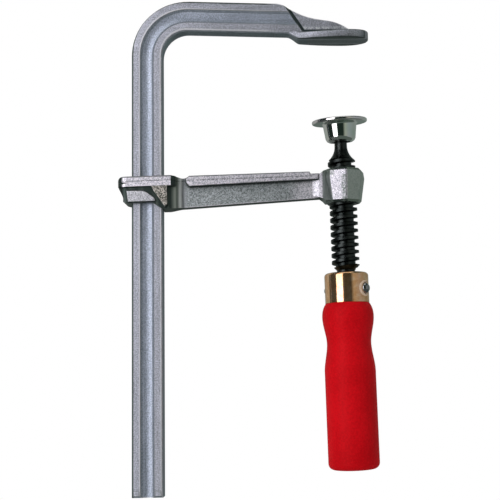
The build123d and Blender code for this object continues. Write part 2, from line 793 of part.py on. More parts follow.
def cross_pin():
    """Pin with a domed head at each end."""
    seat = ferrule_radius - pin_dimple_depth + 0.1
    dome_radius = (pin_head_radius**2 + pin_head_height**2) / (2 * pin_head_height)
    profile = Polyline(
        (0, 0, seat + pin_head_height),
        (0, 0, -seat - pin_head_height),
    )
    low_dome = ThreePointArc(
        (0, 0, -seat - pin_head_height),
        (pin_head_radius * 0.6, 0, -seat - pin_head_height + dome_radius
         - sqrt(dome_radius**2 - (pin_head_radius * 0.6)**2)),
        (pin_head_radius, 0, -seat),
    )
    shank = Polyline(
        (pin_head_radius, 0, -seat),
        (pin_radius, 0, -seat),
        (pin_radius, 0, seat),
        (pin_head_radius, 0, seat),
    )
    high_dome = ThreePointArc(
        (pin_head_radius, 0, seat),
        (pin_head_radius * 0.6, 0, seat + pin_head_height - dome_radius
         + sqrt(dome_radius**2 - (pin_head_radius * 0.6)**2)),
        (0, 0, seat + pin_head_height),
    )
    pin = turned(profile + low_dome + shank + high_dome)
    lying = Rot(0, 0, pin_bearing) * (Rot(90, 0, 0) * pin)
    return spindle_frame * (Pos(0, 0, -spindle_length - pin_depth) * lying)


pieces = {
    "rail": rail,
    "sliding_arm": sliding_arm,
    "spindle": spindle,
    "snap_ring": snap_ring,
    "pressure_plate": pressure_plate,
    "ferrule": ferrule,
    "handle": handle,
    "cross_pin": cross_pin,
}

os.makedirs("parts", exist_ok=True)
for name, make in pieces.items():
    shape = make()
    export_step(shape, f"parts/{name}.step")
    print(name, round(shape.volume, 1), shape.is_valid, len(shape.solids()))
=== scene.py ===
import math

import bpy
from mathutils import Matrix, Vector


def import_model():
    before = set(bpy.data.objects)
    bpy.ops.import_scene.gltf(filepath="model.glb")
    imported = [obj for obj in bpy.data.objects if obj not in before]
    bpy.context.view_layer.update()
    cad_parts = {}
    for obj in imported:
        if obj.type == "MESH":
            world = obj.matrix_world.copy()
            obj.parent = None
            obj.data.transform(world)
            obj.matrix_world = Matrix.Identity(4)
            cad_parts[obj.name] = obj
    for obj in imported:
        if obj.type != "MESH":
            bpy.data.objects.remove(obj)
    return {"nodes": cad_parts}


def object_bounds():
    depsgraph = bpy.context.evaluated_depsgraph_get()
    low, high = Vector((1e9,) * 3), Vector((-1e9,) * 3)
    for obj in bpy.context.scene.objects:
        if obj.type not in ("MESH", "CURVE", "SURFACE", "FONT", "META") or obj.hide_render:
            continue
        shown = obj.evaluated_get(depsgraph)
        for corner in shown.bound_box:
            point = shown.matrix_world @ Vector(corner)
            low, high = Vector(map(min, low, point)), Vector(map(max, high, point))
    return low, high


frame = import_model()
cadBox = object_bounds()
cadNodes = frame["nodes"]
scene = bpy.context.scene
print("frame loaded:", len(cadNodes), "pieces")


# Helpers for the node trees

noiseRange = (0.3, 0.7)  # nearly all of a noise lies between these

cornerLook = {
    "samples": 6,
    "creviceStops": [(0.50, 0.0), (0.96, 1.0)],
    "rimStops": [(0.62, 1.0), (0.90, 0.0)],
}


def newMaterial(name):
    material = bpy.data.materials.new(name)
    material.use_nodes = True
    tree = material.node_tree
    return material, tree, tree.nodes["Principled BSDF"]


def objectPoint(tree):
    return tree.nodes.new("ShaderNodeTexCoord").outputs["Object"]


def stretched(tree, scale):
    # Object coordinates that draw a pattern out along an axis with a scale under 1
    mapping = tree.nodes.new("ShaderNodeMapping")
    mapping.inputs["Scale"].default_value = scale
    tree.links.new(objectPoint(tree), mapping.inputs["Vector"])
    return mapping.outputs["Vector"]


def noise(tree, point, grain):
    # grain is (scale, detail, roughness), and may end with distortion
    texture = tree.nodes.new("ShaderNodeTexNoise")
    for socket, value in zip(("Scale", "Detail", "Roughness", "Distortion"), grain):
        texture.inputs[socket].default_value = value
    tree.links.new(point, texture.inputs["Vector"])
    return texture.outputs["Fac"]


def ramp(tree, value, stops):
    # stops are (position, color) pairs
    node = tree.nodes.new("ShaderNodeValToRGB")
    elements = node.color_ramp.elements
    while len(elements) < len(stops):
        elements.new(0.5)
    for element, (position, color) in zip(elements, stops):
        element.position = position
        element.color = (*color, 1)
    tree.links.new(value, node.inputs["Fac"])
    return node.outputs["Color"]


def grayRamp(tree, value, stops):
    return ramp(tree, value, [(position, (level, level, level)) for position, level in stops])


def flatColor(tree, color):
    node = tree.nodes.new("ShaderNodeRGB")
    node.outputs[0].default_value = (*color, 1)
    return node.outputs[0]


def mixColor(tree, factor, first, second):
    node = tree.nodes.new("ShaderNodeMix")
    node.data_type = "RGBA"
    if isinstance(factor, float):
        node.inputs["Factor"].default_value = factor
    else:
        tree.links.new(factor, node.inputs["Factor"])
    tree.links.new(first, node.inputs["A"])
    tree.links.new(second, node.inputs["B"])
    return node.outputs["Result"]


def roughen(tree, shader, value, levels):
    # roughness wanders between two levels
    stops = list(zip(noiseRange, levels))
    tree.links.new(grayRamp(tree, value, stops), shader.inputs["Roughness"])


def bump(tree, shader, height, relief, under=None):
    # relief is (strength, depth)
    node = tree.nodes.new("ShaderNodeBump")
    node.inputs["Strength"].default_value, node.inputs["Distance"].default_value = relief
    tree.links.new(height, node.inputs["Height"])
    if under is not None:
        tree.links.new(under, node.inputs["Normal"])
    tree.links.new(node.outputs["Normal"], shader.inputs["Normal"])
    return node.outputs["Normal"]


def join(tree, operation, *values):
    # one step of arithmetic on numbers and sockets
    node = tree.nodes.new("ShaderNodeMath")
    node.operation = operation
    for socket, value in zip(node.inputs, values):
        if isinstance(value, float):
            socket.default_value = value
        else:
            tree.links.new(value, socket)
    return node.outputs[0]


def allOf(tree, first, *others):
    # masks and shares multiplied: 1 only where every one is 1
    for other in others:
        first = join(tree, "MULTIPLY", first, other)
    return first


def either(tree, first, second):
    return join(tree, "MAXIMUM", first, second)


def without(tree, first, second):
    # the first mask, less where the second one is
    return join(tree, "SUBTRACT", first, second)


def opposite(tree, mask):
    return join(tree, "SUBTRACT", 1.0, mask)


def step(tree, value, border):
    # border is (start, end): 0 up to its start, 1 from its end on
    fade = tree.nodes.new("ShaderNodeMapRange")
    fade.inputs["From Min"].default_value, fade.inputs["From Max"].default_value = border
    tree.links.new(value, fade.inputs["Value"])
    return fade.outputs["Result"]


def axes(tree, output="Object"):
    # X, Y and Z of the place, or of the way the surface faces
    place = tree.nodes.new("ShaderNodeTexCoord")
    apart = tree.nodes.new("ShaderNodeSeparateXYZ")
    tree.links.new(place.outputs[output], apart.inputs["Vector"])
    return apart.outputs


def along(tree, axis, border):
    # 0 before the border and 1 past it, along one axis of the frame
    return step(tree, axes(tree)[axis], border)


def before(tree, axis, border):
    return opposite(tree, along(tree, axis, border))


def outFromMiddle(tree, border):
    # 0 close to the clamp's middle plane, 1 out past the border
    return step(tree, join(tree, "ABSOLUTE", axes(tree)["Y"]), border)


def facing(tree, axis, border):
    # 1 where the surface faces along an axis of the frame by more than the border
    return step(tree, axes(tree, "Normal")[axis], border)


def turnedAway(tree, border):
    # 0 on faces square to the clamp's middle plane, 1 on narrow sides, tops and rounded corners
    start, end = border
    near = facing(tree, "Y", (-end, -start))
    return without(tree, near, facing(tree, "Y", border))


def measured(tree, point, direction):
    # how far a point lies along a direction
    measure = tree.nodes.new("ShaderNodeVectorMath")
    measure.operation = "DOT_PRODUCT"
    measure.inputs[1].default_value = direction
    tree.links.new(point, measure.inputs[0])
    return measure.outputs["Value"]


def pastLine(tree, direction, border):
    # 0 before the border and 1 past it, along a slanted direction in the frame
    return step(tree, measured(tree, objectPoint(tree), direction), border)


def awayFrom(tree, middle):
    # Object coordinates counted from a place of their own
    away = tree.nodes.new("ShaderNodeVectorMath")
    away.operation = "SUBTRACT"
    away.inputs[1].default_value = middle
    tree.links.new(objectPoint(tree), away.inputs[0])
    return away.outputs["Vector"]


def surroundings(tree, reach, inside):
    # how open it is over the surface, or inside the metal under it
    shade = tree.nodes.new("ShaderNodeAmbientOcclusion")
    shade.samples = cornerLook["samples"]
    shade.only_local = True
    shade.inside = inside
    shade.inputs["Distance"].default_value = reach
    return shade.outputs["AO"]


def crevices(tree, reach):
    # 1 in the open, towards 0 in narrow corners, where shade is painted in
    return grayRamp(tree, surroundings(tree, reach, False), cornerLook["creviceStops"])


def rims(tree, reach):
    # 1 along outer edges, 0 on flat faces; it places painted highlights on the edges
    return grayRamp(tree, surroundings(tree, reach, True), cornerLook["rimStops"])


# Rail, upper arm and jaw

railLook = {
    # colors from the dark end of the noise to its light end
    "grooveColors": [(0.40, (0.30, 0.35, 0.41)), (0.60, (0.60, 0.66, 0.77))],
    "flangeColors": [(0.40, (0.34, 0.36, 0.40)), (0.60, (0.70, 0.72, 0.80))],
    # painted shade on the sides, along the outer outline and low on the pad's edge
    "sideShadeColor": (0.075, 0.098, 0.090),
    # painted highlight along the rims and the flanges' edges
    "rimHighlightColor": (0.86, 0.87, 0.88),
    # painted shade in narrow corners, beside the slanted step and along the rib's foot
    "darkColor": (0.05, 0.07, 0.07),
    "dentColor": (0.92, 0.95, 0.97),
    "metal": 0.86,
    "dullShare": 0.55,  # how much less metallic groove walls and the rims with the painted highlight look
    "roughness": (0.38, 0.54),
    "streaks": (900, 4.0, 0.6),
    "streakStretch": 0.03,
    "streakTurn": (-0.016, 0.008),  # heights between which the streaks turn into the arm
    "clouds": (130, 5.0, 0.65),
    "specks": (1500, 2.0, 0.6),
    "cloudShare": 0.25,
    "speckShare": 0.66,
    "speckRelief": (0.5, 0.00012),
    "streakRelief": (0.3, 0.00006),
    "creviceReach": 0.0016,
    "rimReach": 0.0007,
    "rimShare": 0.8,
    # borders out from the middle plane
    "grooveWall": (0.0033, 0.0035),
    "flangeFace": (0.0043, 0.0046),
    "ribRecess": (0.0044, 0.0046),
    "grooveMouth": (0.0046, 0.0048),
    # how far a surface turns away before it gets painted shade, on the sides and in the groove
    "sideTurn": (0.78, 0.97),
    "wallTurn": (0.72, 0.80),
    "sideShare": 0.9,
    "wallShare": 0.45,  # this much less in the groove
    # the bend, and lines along the bar from its inner edge at 0 to its outer edge at 1
    "bendMiddle": (-0.0855, 0.0, -0.0087),
    "bendRadii": (0.0145, 0.0315),
    "railOutwards": (-1.0, 0.0, 0.0),
    "armUpwards": (0.0342, 0.0, 0.9994),
    # painted shade along the bar's outer outline
    "outlineStops": [(0.932, 0.0), (0.952, 1.0)],
    # painted highlights along the flanges' edges
    "shineStops": [
        (0.015, 0.0),
        (0.035, 0.7),
        (0.065, 0.7),
        (0.085, 0.0),
        (0.700, 0.0),
        (0.720, 0.7),
        (0.750, 0.7),
        (0.765, 0.0),
    ],
    "jawStart": (-0.042, -0.034),
    # the slanted step between bar and jaw: its edge's ends as X and Z, and borders beyond it
    "stepTop": (-0.0314, 0.0210),
    "stepFoot": (-0.0204, 0.0042),
    "stepEdge": (0.0, 0.0004),
    "stepShade": (0.0021, 0.0024),
    # the jaw's heights
    "padShade": (0.0010, 0.0034),
    "padShadeStart": (-0.036, -0.028),
    "padShadeShare": 0.35,
    "padTop": (0.0046, 0.0054),
    "ribFoot": (0.0059, 0.0067),
    # the row of small bright dents over the jaw's face
    "dentsFoot": (0.0060, 0.0064),
    "dentsTop": (0.0076, 0.0082),
    "dents": (1250, 1.0, 0.4),
    "dentStretch": (1, 1, 0.5),
    "dentStops": [(0.42, 0.0), (0.54, 0.80)],
}


def pastStep(tree):
    # distance beyond the slanted step, square to its edge
    (topX, topZ), (footX, footZ) = railLook["stepTop"], railLook["stepFoot"]
    run = Vector((footX - topX, 0, footZ - topZ)).normalized()
    across = Vector((-run.z, 0, run.x))
    distance = measured(tree, objectPoint(tree), across)
    return join(tree, "SUBTRACT", distance, across.x * footX + across.z * footZ)


def acrossBar(tree):
    # 0 at the bent bar's inner edge, 1 at its outer edge, all round the bend
    away = awayFrom(tree, railLook["bendMiddle"])
    squares = []
    for direction in (railLook["railOutwards"], railLook["armUpwards"]):
        reach = join(tree, "MAXIMUM", measured(tree, away, direction), 0.0)
        squares.append(join(tree, "MULTIPLY", reach, reach))
    radius = join(tree, "SQRT", join(tree, "ADD", *squares))
    return step(tree, radius, railLook["bendRadii"])


def barSkin(tree, streaks, clouds, specks, proud):
    # blotched zinc, darker in the groove than on the flanges and the jaw
    soft = mixColor(tree, railLook["cloudShare"], streaks, clouds)
    blended = mixColor(tree, railLook["speckShare"], soft, specks)
    groove = ramp(tree, blended, railLook["grooveColors"])
    flange = ramp(tree, blended, railLook["flangeColors"])
    return mixColor(tree, proud, groove, flange)


def barEdges(tree, color, face):
    # painted shade on the sides and along the outer outline, and painted highlights along the flanges
    inGroove = opposite(tree, outFromMiddle(tree, railLook["grooveMouth"]))
    sides = turnedAway(tree, railLook["sideTurn"])
    turned = mixColor(tree, inGroove, sides, turnedAway(tree, railLook["wallTurn"]))
    less = join(tree, "MULTIPLY", inGroove, railLook["wallShare"])
    dark = allOf(tree, turned, join(tree, "SUBTRACT", railLook["sideShare"], less))
    across = acrossBar(tree)
    beforeJaw = before(tree, "X", railLook["jawStart"])
    outline = allOf(tree, grayRamp(tree, across, railLook["outlineStops"]), beforeJaw)
    shine = allOf(tree, grayRamp(tree, across, railLook["shineStops"]), face, beforeJaw)
    bright = mixColor(tree, shine, color, flatColor(tree, railLook["rimHighlightColor"]))
    return mixColor(tree, either(tree, dark, outline), bright, flatColor(tree, railLook["sideShadeColor"]))


def padShade(tree):
    # 1 low on the edge of the jaw's pad
    low = before(tree, "Z", railLook["padShade"])
    return allOf(tree, low, along(tree, "X", railLook["padShadeStart"]), railLook["padShadeShare"])


def ribShade(tree, jaw, beyond):
    # 1 beside the slanted step and along the foot of the jaw's rib
    band = without(tree, jaw, step(tree, beyond, railLook["stepShade"]))
    low = without(tree, jaw, along(tree, "Z", railLook["ribFoot"]))
    recess = opposite(tree, outFromMiddle(tree, railLook["ribRecess"]))
    return allOf(tree, either(tree, band, low), along(tree, "Z", railLook["padTop"]), recess)


def jawDents(tree, jaw):
    # 1 on the row of small bright dents along the foot of the jaw's rib
    row = without(tree, along(tree, "Z", railLook["dentsFoot"]), along(tree, "Z", railLook["dentsTop"]))
    spots = noise(tree, stretched(tree, railLook["dentStretch"]), railLook["dents"])
    return allOf(tree, row, grayRamp(tree, spots, railLook["dentStops"]), jaw)


def satinZinc():
    # rolled bar with long faint streaks, plated dull
    material, tree, shader = newMaterial("satinZinc")
    stretch = railLook["streakStretch"]
    downRail = noise(tree, stretched(tree, (1, 1, stretch)), railLook["streaks"])
    alongArm = noise(tree, stretched(tree, (stretch, 1, 1)), railLook["streaks"])
    streaks = mixColor(tree, along(tree, "Z", railLook["streakTurn"]), downRail, alongArm)
    clouds = noise(tree, objectPoint(tree), railLook["clouds"])
    specks = noise(tree, objectPoint(tree), railLook["specks"])
    face = outFromMiddle(tree, railLook["flangeFace"])
    beyond = pastStep(tree)
    jaw = step(tree, beyond, railLook["stepEdge"])
    skin = barSkin(tree, streaks, clouds, specks, either(tree, face, jaw))
    # painted highlights along the outer edges
    edges = allOf(tree, rims(tree, railLook["rimReach"]), railLook["rimShare"])
    rimsLit = mixColor(tree, edges, skin, flatColor(tree, railLook["rimHighlightColor"]))
    edged = barEdges(tree, rimsLit, face)
    shaded = mixColor(tree, padShade(tree), edged, flatColor(tree, railLook["sideShadeColor"]))
    dented = mixColor(tree, jawDents(tree, jaw), shaded, flatColor(tree, railLook["dentColor"]))
    # painted shade in narrow corners, beside the slanted step and along the rib's foot
    darkest = flatColor(tree, railLook["darkColor"])
    creviceShaded = mixColor(tree, crevices(tree, railLook["creviceReach"]), darkest, dented)
    color = mixColor(tree, ribShade(tree, jaw, beyond), creviceShaded, darkest)
    tree.links.new(color, shader.inputs["Base Color"])
    wall = without(tree, outFromMiddle(tree, railLook["grooveWall"]), face)
    dull = allOf(tree, either(tree, wall, edges), railLook["dullShare"])
    tree.links.new(join(tree, "SUBTRACT", railLook["metal"], dull), shader.inputs["Metallic"])
    roughen(tree, shader, clouds, railLook["roughness"])
    under = bump(tree, shader, specks, railLook["speckRelief"])
    bump(tree, shader, streaks, railLook["streakRelief"], under)
    return material


# Sliding arm

castLook = {
    # painted shade in the recesses, painted light on the proud faces
    "recessShadeColors": [(0.40, (0.19, 0.22, 0.21)), (0.62, (0.66, 0.71, 0.73))],
    "proudLitColors": [(0.40, (0.44, 0.45, 0.50)), (0.56, (0.98, 0.95, 1.0))],
    # painted highlight along the edges
    "edgeHighlightColor": (0.98, 0.95, 1.0),
    # painted shade on sides, tops, undersides and the top edge
    "sideShadeColor": (0.055, 0.075, 0.066),
    # painted shade in narrow corners, and the parting line's own dark color
    "darkColor": (0.025, 0.040, 0.033),
    "metal": 0.72,
    "roughness": (0.34, 0.50),
    "worms": (1700, 2.0, 0.5, 0.8),
    "pits": (850, 2.0, 0.6, 0.8),
    "clouds": (70, 4.0, 0.6),
    "pitShare": 0.25,
    "wormRelief": (0.5, 0.00016),
    "pitRelief": (0.4, 0.00022),
    "creviceReach": 0.004,
    "rimReach": 0.0005,
    # borders out from the middle plane, where the raised faces begin
    "flangeFace": (0.0045, 0.0052),
    "collarFace": (0.0075, 0.0082),
    # the arm's own upright, and borders along it
    "upwards": (-0.0227, 0, 1.0),
    "bandFoot": (-0.0816, -0.0812),
    "lineFoot": (-0.07880, -0.07865),
    "lineTop": (-0.07845, -0.07830),
    "topEdge": (-0.0767, -0.0764),
    "topShare": 0.8,
    "lugShare": 0.50,  # how bright the collar's raised parts are under the band
    # the three-cornered gusset under the band
    "gussetColors": [(0.47, (0.10, 0.10, 0.08)), (0.58, (0.70, 0.67, 0.60))],
    "gussetAcross": (0.816, 0, 0.579),  # square to its slanted border
    "gussetStart": (-0.1371, -0.1367),
    "gussetEnd": (-0.0895, -0.0885),
    # the hollow between collar and arm, in painted shade with pale upright stripes of painted
    # reflection
    "hollow": (-0.0968, -0.0870),
    "hollowEnd": (-0.0882, -0.0858),
    "hollowWaves": (260, 2.0, 0.5),
    "hollowStretch": (1, 1, 0.15),
    "hollowWander": 0.16,
    "hollowStops": [
        (0.00, (0.030, 0.045, 0.040)),
        (0.14, (0.34, 0.39, 0.34)),
        (0.38, (0.70, 0.76, 0.68)),
        (0.52, (0.12, 0.15, 0.13)),
        (0.70, (0.80, 0.84, 0.82)),
        (0.84, (0.18, 0.20, 0.20)),
        (1.00, (0.40, 0.42, 0.44)),
    ],
    # borders along the arm, from the collar to the boss
    "armStart": (-0.0895, -0.0875),
    "webEnd": (-0.0320, -0.0300),
    "flare": (-0.0300, -0.0210),
    "flareShare": 0.85,
    "lineEnd": (-0.0160, -0.0155),
    # how far a surface faces aside, up or down before it gets painted shade
    "sideTurn": (0.80, 0.97),
    "topTurn": (0.30, 0.60),
    "underTurn": (-0.60, -0.30),
    # gaps in the parting line
    "lineGaps": (900, 2.0, 0.5),
    "lineStops": [(0.40, 0.2), (0.55, 1.0)],
}

bossLook = {
    # painted shade on the left and right facets; the worn patches take the left one's color too
    "leftColor": (0.21, 0.25, 0.225),
    "rightColor": (0.30, 0.37, 0.30),
    "leftShare": 0.9,
    "rightShare": 0.8,
    "start": (-0.0107, -0.0101),
    "line": (-0.0797, -0.0793),  # height of the parting line across the boss
    "flareHalf": (0.0077, 0.0079),  # out to the flare's flat side
    "flareEnd": (-0.0045, -0.0040),
    # how far a facet faces left or right before it's another one
    "leftTurn": (-0.55, -0.35),
    "frontTurn": (0.0, 0.2),
    "rightTurn": (0.15, 0.35),
    # worn patches on the front facet
    "patchRight": (-0.0006, 0.0010),
    "patchLeft": (-0.0048, -0.0034),
    "patches": (1020, 2.0, 0.5),
    "patchStops": [(0.40, 0.95), (0.60, 0.25)],
}


def proudFaces(tree):
    # 1 on the faces that stand proud of web and collar wall, painted lighter; 0 in the recesses,
    # painted in shade
    band = pastLine(tree, castLook["upwards"], castLook["bandFoot"])
    onCollar = outFromMiddle(tree, castLook["collarFace"])
    collar = allOf(tree, onCollar, either(tree, band, castLook["lugShare"]))
    onArm = outFromMiddle(tree, castLook["flangeFace"])
    besideBoss = allOf(tree, along(tree, "X", castLook["flare"]), castLook["flareShare"])
    arm = either(tree, onArm, besideBoss)
    return mixColor(tree, along(tree, "X", castLook["armStart"]), collar, arm)


def onGusset(tree):
    # 1 on the three-cornered gusset under the band
    underBand = opposite(tree, pastLine(tree, castLook["upwards"], castLook["bandFoot"]))
    pastBorder = pastLine(tree, castLook["gussetAcross"], castLook["gussetStart"])
    raised = outFromMiddle(tree, castLook["collarFace"])
    return allOf(tree, underBand, pastBorder, raised, before(tree, "X", castLook["gussetEnd"]))


def sidesInShade(tree):
    # 1 where shade is painted: on tops, ends and rounded corners; 0 on flat faces and where the web
    #                           flares out to the boss
    beforeFlare = before(tree, "X", castLook["webEnd"])
    tops = facing(tree, "Z", castLook["topTurn"])
    undersides = opposite(tree, facing(tree, "Z", castLook["underTurn"]))
    dark = either(tree, beforeFlare, either(tree, tops, undersides))
    sides = allOf(tree, turnedAway(tree, castLook["sideTurn"]), dark)
    edge = pastLine(tree, castLook["upwards"], castLook["topEdge"])
    return either(tree, sides, allOf(tree, edge, beforeFlare, castLook["topShare"]))


def partingLine(tree):
    # 1 on the faint flash line along band and flange, 0 elsewhere
    rise = pastLine(tree, castLook["upwards"], castLook["lineFoot"])
    fall = pastLine(tree, castLook["upwards"], castLook["lineTop"])
    leftOfBoss = without(tree, without(tree, rise, fall), along(tree, "X", castLook["lineEnd"]))
    gaps = noise(tree, objectPoint(tree), castLook["lineGaps"])
    return allOf(tree, leftOfBoss, grayRamp(tree, gaps, castLook["lineStops"]))


def collarRecess(tree):
    # 1 in the sunk parts of the collar and in the hollow beside the arm, where shade is painted
    sunk = opposite(tree, outFromMiddle(tree, castLook["collarFace"]))
    return allOf(tree, sunk, before(tree, "X", castLook["hollowEnd"]))


def hollowShadeAndReflections(tree):
    # painted shade with the hollow's pale upright stripes of painted reflection, from the collar's face
    # to the web
    across = along(tree, "X", castLook["hollow"])
    wave = noise(tree, stretched(tree, castLook["hollowStretch"]), castLook["hollowWaves"])
    wander = join(tree, "MULTIPLY", join(tree, "SUBTRACT", wave, 0.5), castLook["hollowWander"])
    return ramp(tree, join(tree, "ADD", across, wander), castLook["hollowStops"])


def bossFacetShade(tree, color):
    # painted shade on the boss's slanted facets, darker on the left one
    onBoss = along(tree, "X", bossLook["start"])
    leftFacing = opposite(tree, facing(tree, "X", bossLook["leftTurn"]))
    onFlare = opposite(tree, outFromMiddle(tree, bossLook["flareHalf"]))
    besideFacet = without(tree, onFlare, along(tree, "X", bossLook["flareEnd"]))
    left = allOf(tree, onBoss, either(tree, leftFacing, besideFacet), bossLook["leftShare"])
    right = allOf(tree, onBoss, facing(tree, "X", bossLook["rightTurn"]), bossLook["rightShare"])
    leftDone = mixColor(tree, left, color, flatColor(tree, bossLook["leftColor"]))
    return mixColor(tree, right, leftDone, flatColor(tree, bossLook["rightColor"]))


def bossPatches(tree):
    # 1 on the worn patches of the front facet, low on its right and high on its left
    above = along(tree, "Z", bossLook["line"])
    frontOnly = opposite(tree, facing(tree, "X", bossLook["frontTurn"]))
    toRight = along(tree, "X", bossLook["patchRight"])
    lowRight = allOf(tree, opposite(tree, above), toRight, frontOnly)
    highLeft = allOf(tree, above, before(tree, "X", bossLook["patchLeft"]))
    spots = noise(tree, objectPoint(tree), bossLook["patches"])
    patches = allOf(tree, along(tree, "X", bossLook["start"]), either(tree, lowRight, highLeft))
    return allOf(tree, patches, grayRamp(tree, spots, bossLook["patchStops"]))


def forgedSkin():
    # drop-forged skin, worm-like all over, with painted light on the proud faces and painted shade in
    # the recesses
    material, tree, shader = newMaterial("forgedSkin")
    shader.inputs["Metallic"].default_value = castLook["metal"]
    worms = noise(tree, objectPoint(tree), castLook["worms"])
    pits = noise(tree, objectPoint(tree), castLook["pits"])
    skin = mixColor(tree, castLook["pitShare"], worms, pits)
    dull = ramp(tree, skin, castLook["recessShadeColors"])
    bright = ramp(tree, skin, castLook["proudLitColors"])
    litAndShaded = mixColor(tree, proudFaces(tree), dull, bright)
    speckled = mixColor(tree, onGusset(tree), litAndShaded, ramp(tree, worms, castLook["gussetColors"]))
    # painted highlights along the edges
    edgeLight = rims(tree, castLook["rimReach"])
    rimsLit = mixColor(tree, edgeLight, speckled, flatColor(tree, castLook["edgeHighlightColor"]))
    # painted shade in the sunk collar and the hollow, with painted reflections as pale stripes
    recessShaded = mixColor(tree, collarRecess(tree), rimsLit, hollowShadeAndReflections(tree))
    # painted shade on sides, tops, undersides and the top edge
    sidesShaded = mixColor(tree, sidesInShade(tree), recessShaded, flatColor(tree, castLook["sideShadeColor"]))
    facetShaded = bossFacetShade(tree, sidesShaded)
    patched = mixColor(tree, bossPatches(tree), facetShaded, flatColor(tree, bossLook["leftColor"]))
    # dark color for the parting line and for painted shade in narrow corners
    darkest = flatColor(tree, castLook["darkColor"])
    lined = mixColor(tree, partingLine(tree), patched, darkest)
    color = mixColor(tree, crevices(tree, castLook["creviceReach"]), darkest, lined)
    tree.links.new(color, shader.inputs["Base Color"])
    clouds = noise(tree, objectPoint(tree), castLook["clouds"])
    roughen(tree, shader, clouds, castLook["roughness"])
    under = bump(tree, shader, worms, castLook["wormRelief"])
    bump(tree, shader, pits, castLook["pitRelief"], under)
    return material


# Spindle, pressure plate and cross pin

threadLook = {
    "colors": [(0.35, (0.016, 0.020, 0.019)), (0.70, (0.070, 0.080, 0.076))],
    "roughness": (0.24, 0.42),
    "clouds": (220, 4.0, 0.6),
    "grain": (700, 3.0, 0.6),
    "relief": (0.35, 0.00012),
}

plateLook = {
    "colors": [(0.3, (0.66, 0.76, 0.68)), (0.5, (0.82, 0.80, 0.78)), (0.7, (0.92, 0.80, 0.88))],
    "roughness": (0.05, 0.11),
    "clouds": (70, 3.0, 0.5),
    "grain": (500, 3.0, 0.5),
    "relief": (0.08, 0.00004),
}

pinLook = {
    "colors": [(0.3, (0.28, 0.29, 0.30)), (0.7, (0.44, 0.45, 0.47))],
    "roughness": (0.10, 0.24),
    "clouds": (300, 4.0, 0.6),
    "grain": (900, 2.0, 0.5),
    "relief": (0.15, 0.00005),
}


def cloudyMetal(name, look):
    # plated or bare metal, cloudy in its color and gloss
    material, tree, shader = newMaterial(name)
    shader.inputs["Metallic"].default_value = 1.0
    clouds = noise(tree, objectPoint(tree), look["clouds"])
    tree.links.new(ramp(tree, clouds, look["colors"]), shader.inputs["Base Color"])
    roughen(tree, shader, clouds, look["roughness"])
    bump(tree, shader, noise(tree, objectPoint(tree), look["grain"]), look["relief"])
    return material


def blackOxide():
    # oiled black oxide on a rolled thread
    return cloudyMetal("blackOxide", threadLook)


def brightZinc():
    # shiny zinc plating with a faint green and pink cast
    return cloudyMetal("brightZinc", plateLook)


def polishedSteel():
    return cloudyMetal("polishedSteel", pinLook)


# Snap ring

ringLook = {
    "color": (0.35, 0.36, 0.38),
    "roughness": (0.22, 0.40),
    "clouds": (400, 4.0, 0.6),
    "relief": (0.2, 0.00005),
}


def springSteel():
    material, tree, shader = newMaterial("springSteel")
    shader.inputs["Base Color"].default_value = (*ringLook["color"], 1)
    shader.inputs["Metallic"].default_value = 1.0
    clouds = noise(tree, objectPoint(tree), ringLook["clouds"])
    roughen(tree, shader, clouds, ringLook["roughness"])
    bump(tree, shader, clouds, ringLook["relief"])
    return material


# Ferrule

ferruleLook = {
    "colors": [(0.36, (0.84, 0.44, 0.20)), (0.52, (1.0, 0.60, 0.33)), (0.70, (1.0, 0.74, 0.54))],
    # painted highlight on the pressed rim round the pin's heads
    "ringHighlightColor": (1.0, 0.74, 0.54),
    "metal": 0.94,
    "ringDull": 0.8,  # how much less metallic the ring looks
    "roughness": (0.07, 0.13),
    "clouds": (260, 5.0, 0.7),
    "grain": (600, 3.0, 0.6),
    "relief": (0.12, 0.00005),
    "pinMiddle": (0.0, 0.0, -0.1425),
    "pinAxis": (0.848, -0.530, 0.0),
    "ringStart": (0.0029, 0.0031),  # borders out from the pin's axis
    "ringEnd": (0.0043, 0.0045),
}


def pinRing(tree):
    # 1 on the sloping rim that's pressed round each of the pin's heads, where a highlight is painted
    turned = tree.nodes.new("ShaderNodeVectorMath")
    turned.operation = "CROSS_PRODUCT"
    turned.inputs[1].default_value = ferruleLook["pinAxis"]
    tree.links.new(awayFrom(tree, ferruleLook["pinMiddle"]), turned.inputs[0])
    reach = tree.nodes.new("ShaderNodeVectorMath")
    reach.operation = "LENGTH"
    tree.links.new(turned.outputs["Vector"], reach.inputs[0])
    distance = reach.outputs["Value"]
    start = step(tree, distance, ferruleLook["ringStart"])
    return without(tree, start, step(tree, distance, ferruleLook["ringEnd"]))


def yellowChromate():
    # yellow passivated zinc on a drawn cup, with a painted highlight on the pressed rim round the pin's
    # heads
    material, tree, shader = newMaterial("yellowChromate")
    clouds = noise(tree, objectPoint(tree), ferruleLook["clouds"])
    ring = pinRing(tree)
    cloudy = ramp(tree, clouds, ferruleLook["colors"])
    color = mixColor(tree, ring, cloudy, flatColor(tree, ferruleLook["ringHighlightColor"]))
    tree.links.new(color, shader.inputs["Base Color"])
    dull = allOf(tree, ring, ferruleLook["ringDull"])
    tree.links.new(join(tree, "SUBTRACT", ferruleLook["metal"], dull), shader.inputs["Metallic"])
    roughen(tree, shader, clouds, ferruleLook["roughness"])
    bump(tree, shader, noise(tree, objectPoint(tree), ferruleLook["grain"]), ferruleLook["relief"])
    return material


# Handle

handleLook = {
    "colors": [(0.38, (0.56, 0.002, 0.006)), (0.62, (0.74, 0.004, 0.010))],
    "gloss": 0.05,
    "roughness": (0.42, 0.56),
    "clouds": (40, 3.0, 0.5),
    "specks": (900, 2.0, 0.6),
    "speckShare": 0.5,
    "grain": (500, 4.0, 0.6),
    "grainStretch": (1, 1, 0.08),
    "relief": (0.10, 0.00010),
}


